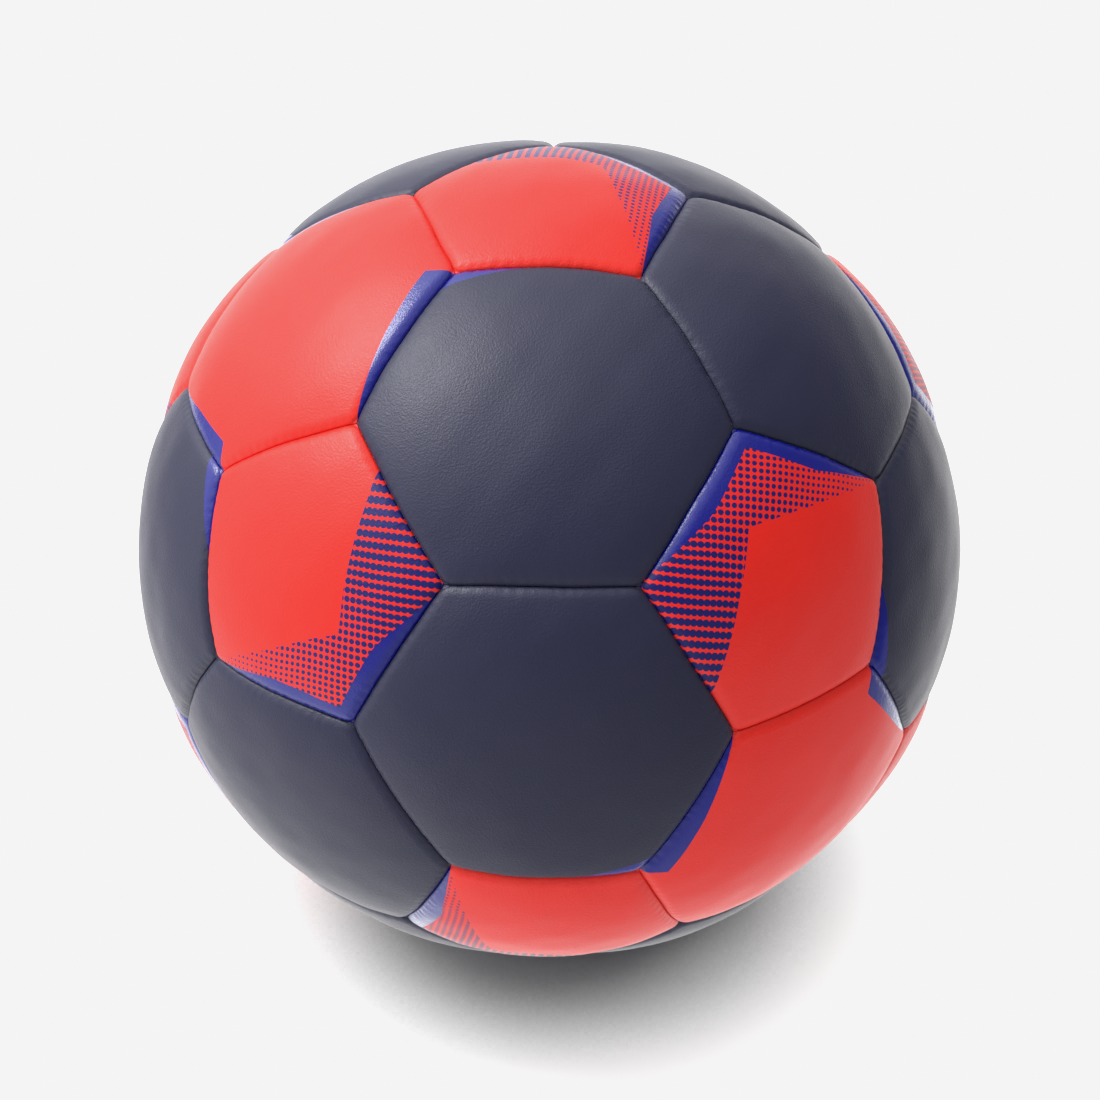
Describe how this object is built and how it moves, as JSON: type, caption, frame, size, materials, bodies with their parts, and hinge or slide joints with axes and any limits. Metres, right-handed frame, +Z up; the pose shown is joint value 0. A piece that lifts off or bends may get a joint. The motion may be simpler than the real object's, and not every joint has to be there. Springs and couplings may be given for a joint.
{
  "type": "handball",
  "caption": "Stitched panel handball of soft synthetic leather over foam and cloth, with a rubber bladder and a needle valve.",
  "frame": {"origin": "centre of the ball", "axes": "+Z up through the middle of the top pentagon; -Y to the front, the side that the picture shows; +X to the picture's right"},
  "size_m": [0.1738, 0.1746, 0.175],
  "materials": {
    "red_cover": "matte coral red synthetic leather with printed blue bands and dots",
    "navy_cover": "matte grey navy synthetic leather with a fine grain",
    "foam": "closed-cell foam",
    "lining": "plain woven cotton and polyester",
    "thread": "waxed polyester thread",
    "bladder_rubber": "moulded rubber",
    "valve_rubber": "moulded rubber"
  },
  "bodies": {
    "root": {"pentagon_top": "red_cover", "hexagon_top_1": "navy_cover", "hexagon_top_2": "navy_cover", "hexagon_top_3": "navy_cover", "hexagon_top_4": "navy_cover", "hexagon_top_5": "red_cover", "pentagon_upper_1": "red_cover", "pentagon_upper_2": "red_cover", "pentagon_upper_3": "red_cover", "pentagon_upper_4": "red_cover", "pentagon_upper_5": "red_cover", "hexagon_upper_1": "navy_cover", "hexagon_upper_2": "navy_cover", "hexagon_upper_3": "red_cover", "hexagon_upper_4": "navy_cover", "hexagon_upper_5": "navy_cover", "hexagon_lower_1": "red_cover", "hexagon_lower_2": "navy_cover", "hexagon_lower_3": "navy_cover", "hexagon_lower_4": "navy_cover", "hexagon_lower_5": "navy_cover", "pentagon_lower_1": "red_cover", "pentagon_lower_2": "red_cover", "pentagon_lower_3": "red_cover", "pentagon_lower_4": "red_cover", "pentagon_lower_5": "red_cover", "hexagon_bottom_1": "navy_cover", "hexagon_bottom_2": "navy_cover", "hexagon_bottom_3": "navy_cover", "hexagon_bottom_4": "red_cover", "hexagon_bottom_5": "navy_cover", "pentagon_bottom": "red_cover", "pentagon_top_foam": "foam", "hexagon_top_foam": "foam", "pentagon_upper_foam": "foam", "hexagon_upper_foam": "foam", "hexagon_lower_foam": "foam", "pentagon_lower_foam": "foam", "hexagon_bottom_foam": "foam", "pentagon_bottom_foam": "foam", "pentagon_top_lining": "lining", "hexagon_top_lining": "lining", "pentagon_upper_lining": "lining", "hexagon_upper_lining": "lining", "hexagon_lower_lining": "lining", "pentagon_lower_lining": "lining", "hexagon_bottom_lining": "lining", "pentagon_bottom_lining": "lining", "hexagon_thread": "thread", "pentagon_thread": "thread", "bladder": "bladder_rubber", "valve_sleeve": "valve_rubber", "valve_plug": "valve_rubber"}
  },
  "joints": []
}
